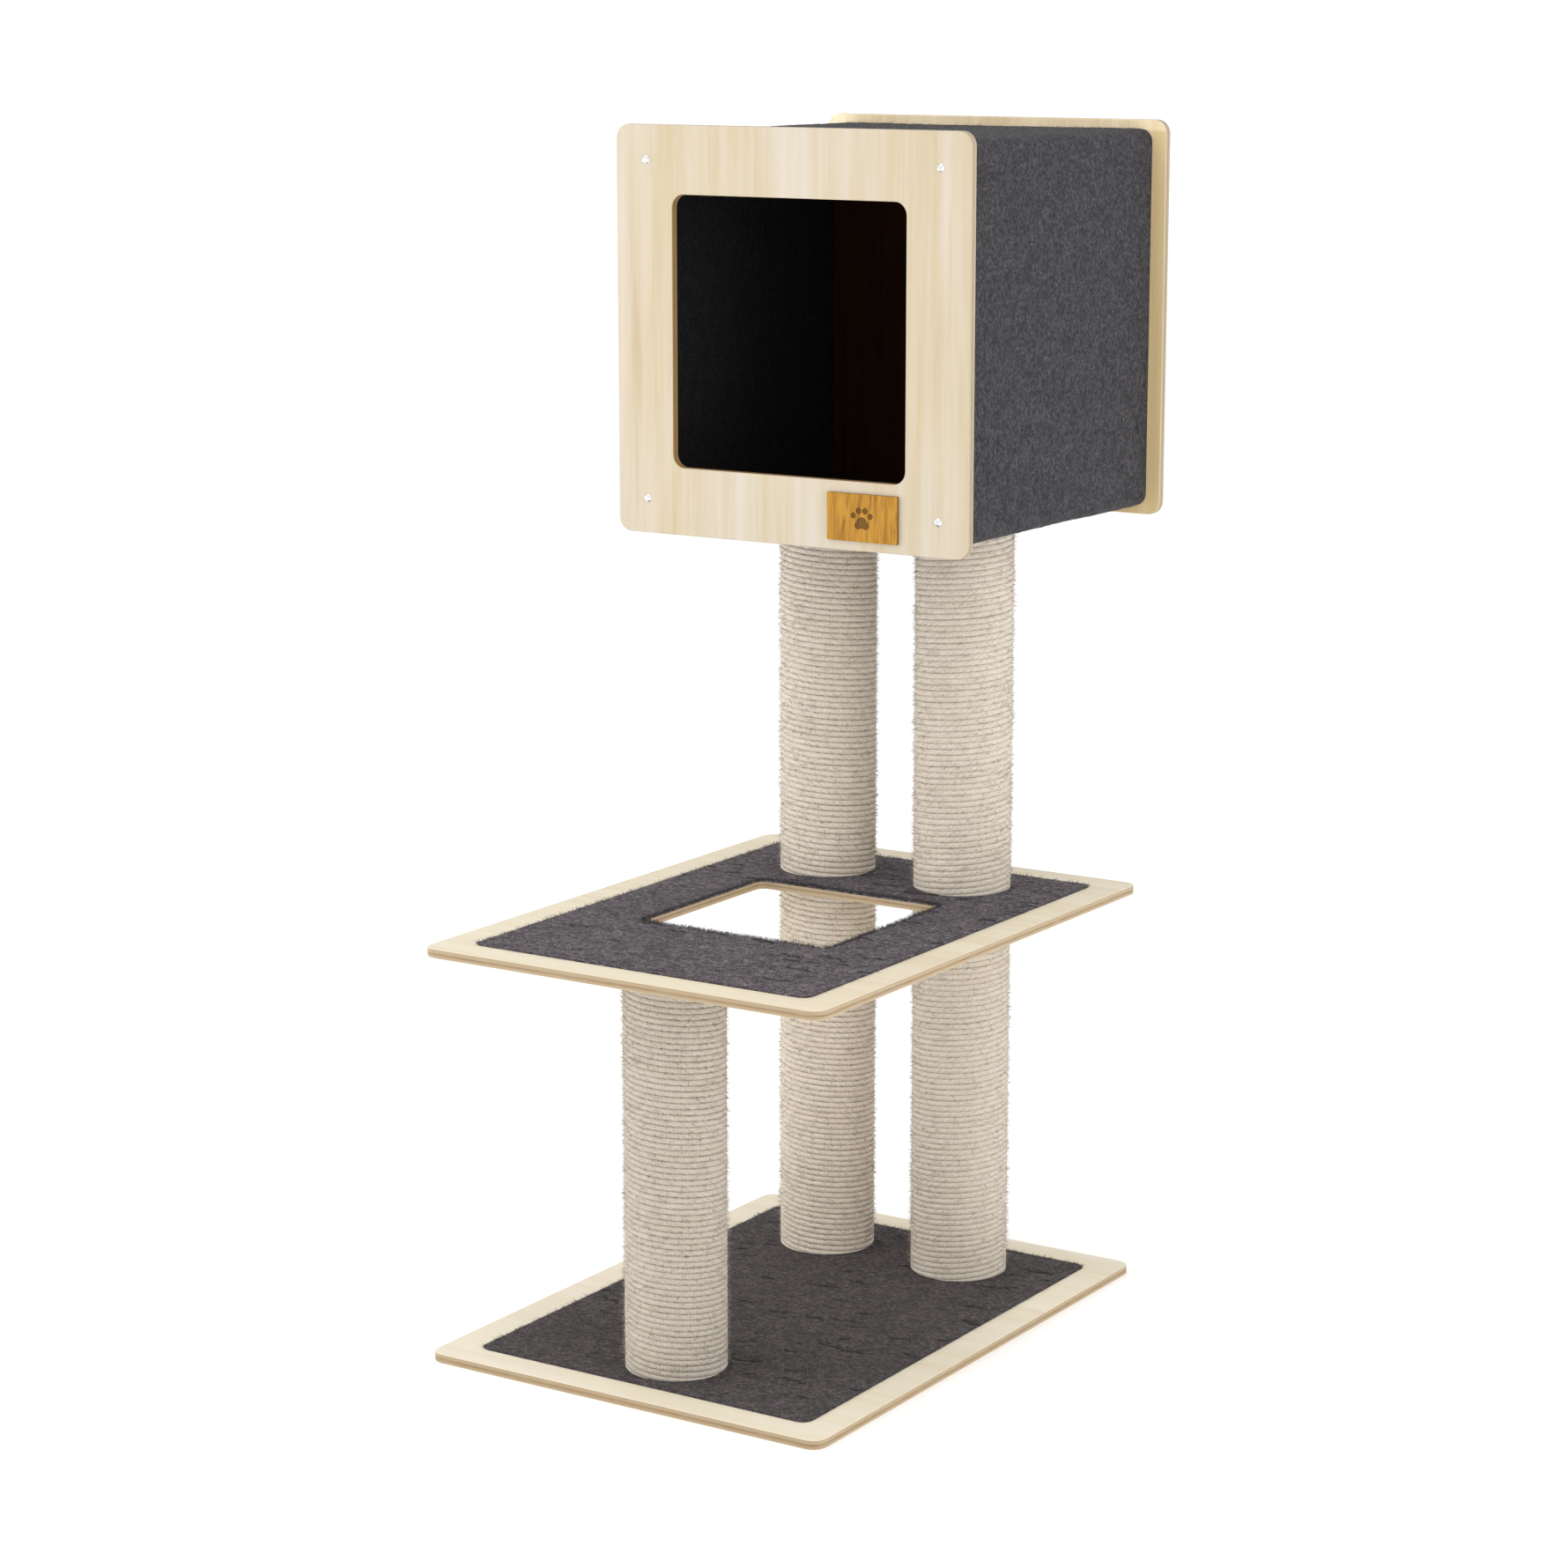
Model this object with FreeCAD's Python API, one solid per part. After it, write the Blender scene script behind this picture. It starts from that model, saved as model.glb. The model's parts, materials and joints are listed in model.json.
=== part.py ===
import FreeCAD, Part
import math
import os

# A two-level cat tree, in millimetres. +Z is up, and the origin is the middle of the base board's
# underside. The cabin's doorway faces -Y. A base board carries three rope-wound posts, which hold a
# carpeted platform with a square hole; two more posts on the platform hold a felt-covered cabin
# with a wooden front panel and back panel.

# ---- driving dimensions -------------------------------------------------------------------------

# Base board and platform board, cut from the same plywood to the same outline.
ply = 9.0
board_width = 450.0
board_depth = 612.0
board_corner = 15.0
board_edge_round = 0.8
platform_top = 415.5

# Carpet, laid in a shallow recess of each board.
carpet_margin = 34.7
carpet_corner = 12.0
carpet_thickness = 3.0
carpet_recess = 1.5
carpet_edge_round = 0.8

# Square hole through the platform.
hole_size = 218.0
hole_x = -1.0
hole_y = 3.0
hole_corner = 10.0

# Posts: a cardboard tube, a wooden plug in each end, and a rope wound round the tube.
post_x = 0.0
front_post_y = -206.5
rear_post_y = 194.5
rear_post_spacing = 161.0
tube_outer_r = 44.0
tube_wall = 4.0
rope_r = 2.8
plug_length = 20.0
staple_wire = 0.8
staple_width = 8.0
staple_leg = 7.5

# Threaded inserts in the plugs, and the bolts that go into them.
insert_outer_r = 6.0
insert_length = 15.0
bolt_r = 4.0
bolt_clearance_r = 4.5
bolt_grip = 13.0
bolt_head_r = 8.0
bolt_head_height = 4.0
socket_r = 2.9
socket_depth = 3.0

# Cabin: a tunnel of four thin boards with a wooden block in each of its eight corners, felt outside
# and inside, and a thin brown board across the back.
cabin_x = 0.0
cabin_front_y = -6.0
cabin_depth = 397.5
cabin_bottom = 784.5
panel_width = 401.5
panel_height = 399.5
panel_corner = 14.0
doorway_size = 266.0
doorway_corner = 13.0
doorway_x = -2.5
shell_half_width = 185.5
shell_bottom_inset = 8.5
shell_top_inset = 9.0
shell_corner = 13.0
felt_outside = 3.0
shell_board = 5.0
felt_inside = 2.0
block_size = 28.0
block_length = 26.0
inner_back = 3.0

# Screws through the panels into the blocks.
screw_inset = 34.0
screw_r = 2.0
screw_length = 30.0
screw_point = 4.0
screw_tip_r = 0.3
screw_head_r = 4.2
screw_head_height = 2.2
recess_depth = 1.2
recess_half_length = 2.3
recess_half_width = 0.5

# Badge on the front panel.
badge_width = 79.0
badge_height = 46.0
badge_thickness = 3.0
badge_corner = 1.2
badge_rim_round = 0.4
badge_x = 84.5
badge_z = 32.5

# Paw print engraved in the badge: circles as (x, z, radius) from the badge's middle.
paw_depth = 0.6
paw_pad = [(0.0, -4.6, 5.6), (-4.4, -7.2, 3.7), (4.4, -7.2, 3.7)]
paw_toes = [(-9.4, 2.2, 2.9), (-3.6, 7.0, 3.1), (3.6, 7.0, 3.1), (9.4, 2.2, 2.9)]

# ---- derived dimensions -------------------------------------------------------------------------

base_top = ply
platform_bottom = platform_top - ply
carpet_rise = carpet_thickness - carpet_recess
base_carpet_top = base_top + carpet_rise
platform_carpet_top = platform_top + carpet_rise
rope_outer_r = tube_outer_r + 2.0 * rope_r

panel_back_y = cabin_front_y + ply
back_panel_y = cabin_front_y + cabin_depth - ply
shell_bottom = cabin_bottom + shell_bottom_inset
shell_top = cabin_bottom + panel_height - shell_top_inset
shell_length = back_panel_y - panel_back_y
shell_middle_z = (shell_top + shell_bottom) / 2.0
board_level = shell_bottom + felt_outside
board_outer_half = shell_half_width - felt_outside
board_inner_half = board_outer_half - shell_board
board_inner_bottom = board_level + shell_board
board_inner_top = shell_top - felt_outside - shell_board
inner_back_y = back_panel_y - block_length - inner_back

rear_left_x = post_x - rear_post_spacing / 2.0
rear_right_x = post_x + rear_post_spacing / 2.0
UP = FreeCAD.Vector(0, 0, 1)

# Each post: name, x, y, bottom, top.
POSTS = [
    ("front_post", post_x, front_post_y, base_carpet_top, platform_bottom),
    ("lower_left_post", rear_left_x, rear_post_y, base_carpet_top, platform_bottom),
    ("lower_right_post", rear_right_x, rear_post_y, base_carpet_top, platform_bottom),
    ("upper_left_post", rear_left_x, rear_post_y, platform_carpet_top, shell_bottom),
    ("upper_right_post", rear_right_x, rear_post_y, platform_carpet_top, shell_bottom),
]
LOWER_POST_PLACES = [(x, y) for name, x, y, bottom, top in POSTS[:3]]
UPPER_POST_PLACES = [(x, y) for name, x, y, bottom, top in POSTS[3:]]


# ---- shapes used more than once -----------------------------------------------------------------


def vector(x, y, z):
    return FreeCAD.Vector(x, y, z)


def cylinder(x, y, bottom, top, radius):
    return Part.makeCylinder(radius, top - bottom, vector(x, y, bottom), UP)


def ring(x, y, bottom, top, outer, inner):
    return cylinder(x, y, bottom, top, outer).cut(cylinder(x, y, bottom, top, inner))


def slab(x, y, bottom, top, width, depth, corner):
    """A level plate with rounded upright corners, centred on x and y."""
    corner_point = vector(x - width / 2.0, y - depth / 2.0, bottom)
    plate = Part.makeBox(width, depth, top - bottom, corner_point)
    upright = [edge for edge in plate.Edges if is_along(edge, UP)]
    return plate.makeFillet(corner, upright)


def upright_plate(x, z, front, back, width, height, corner):
    """A plate that stands across the Y axis with rounded corners, centred on x and z."""
    plate = Part.makeBox(
        width, back - front, height, vector(x - width / 2.0, front, z - height / 2.0)
    )
    across = [edge for edge in plate.Edges if is_along(edge, vector(0, 1, 0))]
    return plate.makeFillet(corner, across)


def is_along(edge, direction):
    """Whether a straight edge runs along a direction."""
    if not isinstance(edge.Curve, Part.Line):
        return False
    return abs(edge.tangentAt(edge.FirstParameter).dot(direction)) > 0.999


def ease_rims(plate, direction, levels, radius):
    """Rounds over the rims of a plate: the edges that lie wholly at one of the levels."""
    rims = []
    for edge in plate.Edges:
        for level in levels:
            heights = [vertex.Point.dot(direction) for vertex in edge.Vertexes]
            heights.append(edge.CenterOfMass.dot(direction))
            if all(abs(height - level) < 1e-6 for height in heights):
                rims.append(edge)
    return plate.makeFillet(radius, rims)


def fuse(solids):
    whole = solids[0]
    for solid in solids[1:]:
        whole = whole.fuse(solid)
    return whole.removeSplitter()


def save(name, shape):
    """Writes one sub-part. A list becomes a group of separate solids."""
    if isinstance(shape, list):
        shape = Part.makeCompound([piece.Solids[0] for piece in shape])
    elif len(shape.Solids) == 1:
        shape = shape.Solids[0]
    if not shape.isValid():
        raise ValueError(name + " is not a valid shape")
    shape.exportStep("parts/" + name + ".step")
    print(name, "solids", len(shape.Solids), "volume", round(shape.Volume / 1000.0, 2), "cm3")


# ---- fasteners ----------------------------------------------------------------------------------


def countersunk_head(x, y, face, away):
    """A flat-headed cone whose wide end is flush with a face; away is +1 if that face looks up."""
    inward = vector(0, 0, -away)
    return Part.makeCone(bolt_head_r, bolt_r, bolt_head_height, vector(x, y, face), inward)


def hex_key_socket(x, y, face, away):
    """A six-sided socket cut into a bolt's head."""
    turns = [math.radians(60 * i) for i in range(7)]
    corners = [
        vector(socket_r * math.cos(turn), socket_r * math.sin(turn), 0) for turn in turns
    ]
    prism = Part.Face(Part.makePolygon(corners)).extrude(vector(0, 0, -away * socket_depth))
    prism.translate(vector(x, y, face))
    return prism


def countersunk_bolt(x, y, face, away, length):
    """A countersunk M8 bolt with its head flush with a face, pointing into the board."""
    low, high = sorted((face, face - away * length))
    shank = cylinder(x, y, low, high, bolt_r)
    whole = fuse([shank, countersunk_head(x, y, face, away)])
    return whole.cut(hex_key_socket(x, y, face, away))


def pan_head_screw(x, z, face, toward):
    """A wood screw along Y, its domed head standing on a face; toward is +1 if it points to +Y."""
    into = vector(0, toward, 0)
    shank_length = screw_length - screw_point
    shank = Part.makeCylinder(screw_r, shank_length, vector(x, face, z), into)
    start = vector(x, face + toward * shank_length, z)
    point = Part.makeCone(screw_r, screw_tip_r, screw_point, start, into)
    ball_r = (screw_head_r**2 + screw_head_height**2) / (2.0 * screw_head_height)
    ball = Part.makeSphere(ball_r, vector(x, face + toward * (ball_r - screw_head_height), z))
    out = vector(0, -toward, 0)
    rim = Part.makeCylinder(screw_head_r, screw_head_height, vector(x, face, z), out)
    head = ball.common(rim)
    whole = fuse([head, shank, point])
    outer = face - toward * screw_head_height
    for width, height in (
        (recess_half_length, recess_half_width),
        (recess_half_width, recess_half_length),
    ):
        low_y = min(outer, outer + toward * recess_depth)
        slot = Part.makeBox(
            2.0 * width, recess_depth, 2.0 * height, vector(x - width, low_y, z - height)
        )
        whole = whole.cut(slot)
    return whole


def screw_places():
    """The four places, as (x, z), where screws go through a panel into the blocks."""
    places = []
    for side in (-1, 1):
        for end in (-1, 1):
            x = cabin_x + side * (panel_width / 2.0 - screw_inset)
            z = cabin_bottom + panel_height / 2.0 + end * (panel_height / 2.0 - screw_inset)
            places.append((x, z))
    return places


# ---- base and platform --------------------------------------------------------------------------


def plain_board(bottom):
    """The outline that both boards share, with eased rims and the recess for its carpet."""
    board = slab(0, 0, bottom, bottom + ply, board_width, board_depth, board_corner)
    board = ease_rims(board, UP, (bottom, bottom + ply), board_edge_round)
    top = bottom + ply
    return board.cut(carpet_outline(top - carpet_recess, top + 1.0))


def carpet_outline(bottom, top):
    width = board_width - 2.0 * carpet_margin
    depth = board_depth - 2.0 * carpet_margin
    return slab(0, 0, bottom, top, width, depth, carpet_corner)


def carpet(top_of_board):
    """A carpet panel with a soft upper rim, lying in its recess."""
    bottom = top_of_board - carpet_recess
    top = top_of_board + carpet_rise
    return ease_rims(carpet_outline(bottom, top), UP, (top,), carpet_edge_round)


def platform_hole(bottom, top):
    return slab(hole_x, hole_y, bottom, top, hole_size, hole_size, hole_corner)


def base():
    board = plain_board(0.0)
    cover = carpet(base_top)
    bolts = []
    for x, y in LOWER_POST_PLACES:
        board = board.cut(cylinder(x, y, 0.0, base_top, bolt_clearance_r))
        board = board.cut(countersunk_head(x, y, 0.0, -1))
        cover = cover.cut(cylinder(x, y, 0.0, base_carpet_top, bolt_clearance_r))
        bolts.append(countersunk_bolt(x, y, 0.0, -1, base_carpet_top + bolt_grip))
    save("base_board", board)
    save("base_carpet", cover)
    save("base_post_bolts", bolts)


def platform():
    board = plain_board(platform_bottom)
    board = board.cut(platform_hole(platform_bottom - 1.0, platform_top + 1.0))
    cover = carpet(platform_top)
    cover = cover.cut(platform_hole(platform_bottom, platform_carpet_top + 1.0))
    for x, y in UPPER_POST_PLACES:
        board = board.cut(cylinder(x, y, platform_bottom, platform_top, bolt_clearance_r))
        cover = cover.cut(cylinder(x, y, platform_bottom, platform_carpet_top, bolt_clearance_r))
    recess_floor = platform_top - carpet_recess
    bolt_hole = cylinder(post_x, front_post_y, platform_bottom, platform_top, bolt_clearance_r)
    board = board.cut(bolt_hole)
    board = board.cut(countersunk_head(post_x, front_post_y, recess_floor, 1))
    save("platform_board", board)
    save("platform_carpet", cover)
    length = recess_floor - platform_bottom + bolt_grip
    save("platform_front_bolt", countersunk_bolt(post_x, front_post_y, recess_floor, 1, length))
    low = platform_bottom - bolt_grip
    high = platform_carpet_top + bolt_grip
    studs = [cylinder(x, y, low, high, bolt_r) for x, y in UPPER_POST_PLACES]
    save("platform_post_studs", studs)


# ---- posts --------------------------------------------------------------------------------------


def threaded_insert(x, y, outer_end, inward):
    """A threaded sleeve whose mouth is flush with a plug's outer face."""
    low, high = sorted((outer_end, outer_end + inward * insert_length))
    return ring(x, y, low, high, insert_outer_r, bolt_r)


def end_plug(x, y, outer_end, inward):
    """A turned wooden plug with a blind hole for its insert and room for the bolt's tip."""
    low, high = sorted((outer_end, outer_end + inward * plug_length))
    plug = cylinder(x, y, low, high, tube_outer_r - tube_wall)
    low, high = sorted((outer_end, outer_end + inward * insert_length))
    return plug.cut(cylinder(x, y, low, high, insert_outer_r))


def staple(x, y, z, angle):
    """A wire staple over the rope's end turn, with its legs pushed into the tube."""
    crown = Part.makeBox(staple_wire, staple_width, staple_wire, vector(0, -staple_width / 2.0, 0))
    legs = [
        Part.makeBox(staple_leg, staple_wire, staple_wire, vector(-staple_leg, offset, 0))
        for offset in (-staple_width / 2.0, staple_width / 2.0 - staple_wire)
    ]
    whole = fuse([crown] + legs)
    whole.translate(vector(rope_outer_r, 0, 0))
    whole.rotate(vector(0, 0, 0), UP, angle)
    whole.translate(vector(x, y, z - staple_wire / 2.0))
    return whole


def post(name, x, y, bottom, top):
    tube = ring(x, y, bottom, top, tube_outer_r, tube_outer_r - tube_wall)
    save(name + "_bottom_plug", end_plug(x, y, bottom, 1))
    save(name + "_top_plug", end_plug(x, y, top, -1))
    save(name + "_inserts", [threaded_insert(x, y, bottom, 1), threaded_insert(x, y, top, -1)])
    staples = [staple(x, y, bottom + rope_r, 90), staple(x, y, top - rope_r, 90)]
    rope = ring(x, y, bottom, top, rope_outer_r, tube_outer_r)
    for wire in staples:
        rope = rope.cut(wire)
        tube = tube.cut(wire)
    save(name + "_tube", tube)
    save(name + "_rope", rope)
    return staples


def posts():
    staples = []
    for name, x, y, bottom, top in POSTS:
        staples += post(name, x, y, bottom, top)
    save("rope_end_staples", staples)


# ---- cabin --------------------------------------------------------------------------------------


def tunnel(half_width, bottom, top, corner):
    """A solid bar along Y as long as the space between the panels."""
    middle = (bottom + top) / 2.0
    return upright_plate(
        cabin_x, middle, panel_back_y, back_panel_y, 2.0 * half_width, top - bottom, corner
    )


def region(left, right, bottom, top):
    """A box as long as the tunnel, for taking one board out of the frame round the cavity."""
    corner = vector(left, panel_back_y, bottom)
    return Part.makeBox(right - left, shell_length, top - bottom, corner)


def cabin_shell():
    """The felt cover, and the floor, roof, left and right boards inside it."""
    outer_corner = shell_corner - felt_outside
    outside = tunnel(shell_half_width, shell_bottom, shell_top, shell_corner)
    around_boards = tunnel(board_outer_half, board_level, shell_top - felt_outside, outer_corner)
    left = cabin_x - board_inner_half
    right = cabin_x + board_inner_half
    cavity = region(left, right, board_inner_bottom, board_inner_top)
    cover = outside.cut(around_boards)

    frame = around_boards.cut(cavity)
    left_board = frame.common(region(cabin_x - shell_half_width, left, shell_bottom, shell_top))
    right_board = frame.common(region(right, cabin_x + shell_half_width, shell_bottom, shell_top))
    floor_board = frame.common(region(left, right, shell_bottom, shell_middle_z))
    roof_board = frame.common(region(left, right, shell_middle_z, shell_top))
    return cover, floor_board, roof_board, left_board, right_board


def corner_blocks():
    """Eight blocks, one in each corner of the tunnel's two ends, drilled for the panels' screws."""
    blocks = []
    for side in (-1, 1):
        for low in (board_inner_bottom, board_inner_top - block_size):
            for start in (panel_back_y, back_panel_y - block_length):
                edge = cabin_x + side * board_inner_half
                corner = vector(min(edge, edge - side * block_size), start, low)
                blocks.append(Part.makeBox(block_size, block_length, block_size, corner))
    for x, z in screw_places():
        hole = Part.makeCylinder(screw_r, shell_length, vector(x, panel_back_y, z), vector(0, 1, 0))
        blocks = [block.cut(hole) for block in blocks]
    return blocks


def lining_box(left, right, bottom, top):
    """A box from the front panel to the inner back board."""
    corner = vector(left, panel_back_y, bottom)
    return Part.makeBox(right - left, inner_back_y - panel_back_y, top - bottom, corner)


def linings():
    """Felt on the floor, roof and sides, notched round the front blocks: name and shape."""
    left = cabin_x - board_inner_half
    right = cabin_x + board_inner_half
    low = board_inner_bottom
    high = board_inner_top
    strips = [
        ("floor", lining_box(left, right, low, low + felt_inside)),
        ("roof", lining_box(left, right, high - felt_inside, high)),
        ("left", lining_box(left, left + felt_inside, low + felt_inside, high - felt_inside)),
        ("right", lining_box(right - felt_inside, right, low + felt_inside, high - felt_inside)),
    ]
    for side in (-1, 1):
        for end in (low, high - block_size):
            edge = cabin_x + side * board_inner_half
            corner = vector(min(edge, edge - side * block_size), panel_back_y, end)
            notch = Part.makeBox(block_size, block_length, block_size, corner)
            strips = [(name, strip.cut(notch)) for name, strip in strips]
    return strips


def cabin():
    cover, floor_board, roof_board, left_board, right_board = cabin_shell()
    recess = board_inner_bottom
    bolts = []
    for x, y in UPPER_POST_PLACES:
        cover = cover.cut(cylinder(x, y, shell_bottom, board_level + 1.0, bolt_clearance_r))
        floor_board = floor_board.cut(cylinder(x, y, board_level, recess, bolt_clearance_r))
        floor_board = floor_board.cut(countersunk_head(x, y, recess, 1))
        length = recess - shell_bottom + bolt_grip
        bolts.append(countersunk_bolt(x, y, recess, 1, length))
    left = cabin_x - board_inner_half
    back = Part.makeBox(
        2.0 * board_inner_half,
        inner_back,
        board_inner_top - board_inner_bottom,
        vector(left, inner_back_y, board_inner_bottom),
    )
    save("cabin_felt_cover", cover)
    save("cabin_floor_board", floor_board)
    save("cabin_roof_board", roof_board)
    save("cabin_left_board", left_board)
    save("cabin_right_board", right_board)
    save("cabin_corner_blocks", corner_blocks())
    save("cabin_inner_back", back)
    for side, strip in linings():
        save("cabin_" + side + "_lining", strip)
    save("cabin_post_bolts", bolts)


def panel(front):
    """The outline that both panels share."""
    middle = cabin_bottom + panel_height / 2.0
    return upright_plate(
        cabin_x, middle, front, front + ply, panel_width, panel_height, panel_corner
    )


def panels():
    along = vector(0, 1, 0)
    front = panel(cabin_front_y)
    doorway = upright_plate(
        cabin_x + doorway_x,
        cabin_bottom + panel_height / 2.0,
        cabin_front_y - 1.0,
        panel_back_y + 1.0,
        doorway_size,
        doorway_size,
        doorway_corner,
    )
    front = front.cut(doorway)
    front = ease_rims(front, along, (cabin_front_y, panel_back_y), board_edge_round)
    back_rims = (back_panel_y, back_panel_y + ply)
    back = ease_rims(panel(back_panel_y), along, back_rims, board_edge_round)
    front_screws = []
    back_screws = []
    for x, z in screw_places():
        hole = Part.makeCylinder(screw_r, cabin_depth, vector(x, cabin_front_y, z), along)
        front = front.cut(hole)
        back = back.cut(hole)
        front_screws.append(pan_head_screw(x, z, cabin_front_y, 1))
        back_screws.append(pan_head_screw(x, z, back_panel_y + ply, -1))
    save("cabin_front_panel", front)
    save("cabin_back_panel", back)
    save("front_panel_screws", front_screws)
    save("back_panel_screws", back_screws)


def badge():
    """A wooden plate with an engraved paw print, glued to the front panel's lower right."""
    plate = upright_plate(
        cabin_x + badge_x,
        cabin_bottom + badge_z,
        cabin_front_y - badge_thickness,
        cabin_front_y,
        badge_width,
        badge_height,
        badge_corner,
    )
    front = cabin_front_y - badge_thickness
    plate = ease_rims(plate, vector(0, 1, 0), (front,), badge_rim_round)
    for x, z, radius in paw_pad + paw_toes:
        start = vector(cabin_x + badge_x + x, front, cabin_bottom + badge_z + z)
        plate = plate.cut(Part.makeCylinder(radius, paw_depth, start, vector(0, 1, 0)))
    save("front_badge", plate)


os.makedirs("parts", exist_ok=True)
base()
platform()
posts()
cabin()
panels()
badge()
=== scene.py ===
import json
import math

import bpy
import numpy as np
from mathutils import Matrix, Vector


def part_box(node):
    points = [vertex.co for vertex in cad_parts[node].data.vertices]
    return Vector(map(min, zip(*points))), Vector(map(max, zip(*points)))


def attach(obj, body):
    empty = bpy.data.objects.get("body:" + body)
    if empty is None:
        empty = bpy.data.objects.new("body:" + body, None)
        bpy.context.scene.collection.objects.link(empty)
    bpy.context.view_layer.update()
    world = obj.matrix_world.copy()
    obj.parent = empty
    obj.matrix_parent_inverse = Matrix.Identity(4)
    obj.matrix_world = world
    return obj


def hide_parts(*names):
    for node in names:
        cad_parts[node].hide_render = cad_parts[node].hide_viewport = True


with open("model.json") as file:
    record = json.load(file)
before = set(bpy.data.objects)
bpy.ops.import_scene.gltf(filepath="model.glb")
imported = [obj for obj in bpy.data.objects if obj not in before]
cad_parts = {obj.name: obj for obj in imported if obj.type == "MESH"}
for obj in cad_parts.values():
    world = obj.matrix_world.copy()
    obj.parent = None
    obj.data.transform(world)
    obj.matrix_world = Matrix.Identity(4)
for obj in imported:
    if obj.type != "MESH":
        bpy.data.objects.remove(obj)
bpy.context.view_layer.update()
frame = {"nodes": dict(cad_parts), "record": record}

# A cat tree: rope-wound posts, two carpeted plywood boards and a felt-covered cabin, in metres.
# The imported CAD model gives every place. This script adds the wound ropes, the carpets, the felt
# and all the materials. -Y is the front, and +Z is up.

random = np.random.default_rng(7)

# ---- sizes --------------------------------------------------------------------------------------

# The viewing angle: to the right of the front and a little above, with a long lens.
CAMERA_PLACE = (2.0168, -3.1412, 1.3086)
CAMERA_TURN = math.radians(32.827)
CAMERA_TILT = math.radians(11.530)
CAMERA_LENS = 89.0
CAMERA_SENSOR = 36.0

# Studio: each light's place, aim, size and power, then the sky and the floor.
LIGHTS = {
    "left_light": ((-2.7, -1.7, 0.9), (0.0, 0.0, 0.7), (2.4, 1.6), 42.0),
    "right_light": ((3.1, -0.7, 0.9), (0.0, 0.1, 0.6), (2.2, 1.6), 30.0),
    "top_light": ((-0.4, -1.6, 3.6), (0.0, 0.0, 0.4), (2.4, 2.4), 14.0),
}
WHITE = (1.0, 1.0, 1.0, 1.0)
SKY_STRENGTH = 1.06
FLOOR_REACH = 30.0
FLOOR_TONES = ((0.95, 0.95, 0.95), (0.97, 0.97, 0.97))
FLOOR_GLOW = 0.07

# Rope: four ropes side by side, each of three twisted strands, flattened against the tube. Each
# post has its course height, its hand and its tone. The tone is painted light: lighter on the posts
# that stand in more shade, darker on the front post.
ROPE_STARTS = 4
ROPE_STRANDS = 3
ROPE_THICKNESS = 0.0056
ROPE_TWIST_LENGTH = 0.022
ROPE_SEGMENTS = 84
ROPE_SIDES = 15
ROPE_SQUARENESS = 0.45
ROPE_SQUEEZE = 1.06
ROPE_LOBES = 0.04
ROPE_SWELL = 0.010
ROPE_SWAY = 0.00006
ROPE_FIRST_ANGLE = 0.8
ROPE_SECTION_STEP = 2.1
ROPE_UV_STEP = 3.0
SWAY_SEED, SWELL_SEED = 31, 47
LOWER_COURSE = 0.00578
UPPER_COURSE = 0.00597
LEFT_HANDED, RIGHT_HANDED = -1, 1
POST_WINDINGS = {
    "front_post": (LOWER_COURSE, LEFT_HANDED, 0.81),
    "lower_left_post": (LOWER_COURSE, LEFT_HANDED, 1.14),
    "lower_right_post": (LOWER_COURSE, RIGHT_HANDED, 0.92),
    "upper_left_post": (UPPER_COURSE, LEFT_HANDED, 1.10),
    "upper_right_post": (UPPER_COURSE, RIGHT_HANDED, 0.98),
}

# Carpets and felt. A relief is the usual height of the surface's bumps, and a sink is how far the
# surface or its rim lies within the CAD solid. A crease's width is the distance at which it has
# faded to about a third.
CARPET_GRID = 0.0021
CARPET_CORNER = 0.012
HOLE_CORNER = 0.010
HOLE_SIZE = 0.218
HOLE_MIDDLE = (-0.001, 0.003)
COVER_GRID = 0.0026
COVER_CORNER = 0.013
COVER_CORNER_STEPS = 12
COVER_THICKNESS = 0.003
LINING_GRID = 0.004
BLOCK_SIZE = 0.028
BLOCK_LENGTH = 0.026
CREASES = 60
CREASE_WIDTH = 0.0028
DENT_DEPTH = 0.0007
CARPET_RELIEF = 0.00016
CARPET_SINK = 0.0002
CARPET_RIM_SINK = 0.0008
FELT_FINE_RELIEF = 0.00015
FELT_BROAD_RELIEF = 0.00025
FELT_RIM_SINK = 0.0005
LINING_SINK = 0.0003
HIGHEST_RELIEF = 0.0005

# Loose fibres: where they bend and the length beyond, as shares of the whole, their radius at the
# bend as a share of the thickness, then how many, how long from shortest to longest, how thick.
FIBRE_BEND = 0.55
FIBRE_BEYOND = 0.45
FIBRE_WAIST = 0.38
FIBRE_POINTS = 7
ROPE_FIBRES = 10000
ROPE_FIBRE_LENGTHS = (0.0025, 0.0070)
ROPE_FIBRE_THICKNESS = 0.00036
CARPET_FIBRES = 15000
CARPET_FRINGE = 2000
HOLE_FRINGE = 5000
HOLE_FRINGE_LONGER = 1.3
HOLE_FRINGE_DARKER = 0.4
CARPET_FIBRE_LENGTHS = (0.0022, 0.0056)
CARPET_FIBRE_THICKNESS = 0.00034
COVER_FIBRES = 18000
COVER_FIBRE_LENGTHS = (0.0020, 0.0050)
COVER_FIBRE_THICKNESS = 0.00032

# Marks of the laser: the badge's engraving, and the browner edge round the doorway.
ENGRAVING_DEPTH = 0.0006
DOORWAY_MIDDLE = (-0.0025, 0.98425)
DOORWAY_REACH = 0.136
DOORWAY_TINT = (1.0, 0.74, 0.48)
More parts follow.
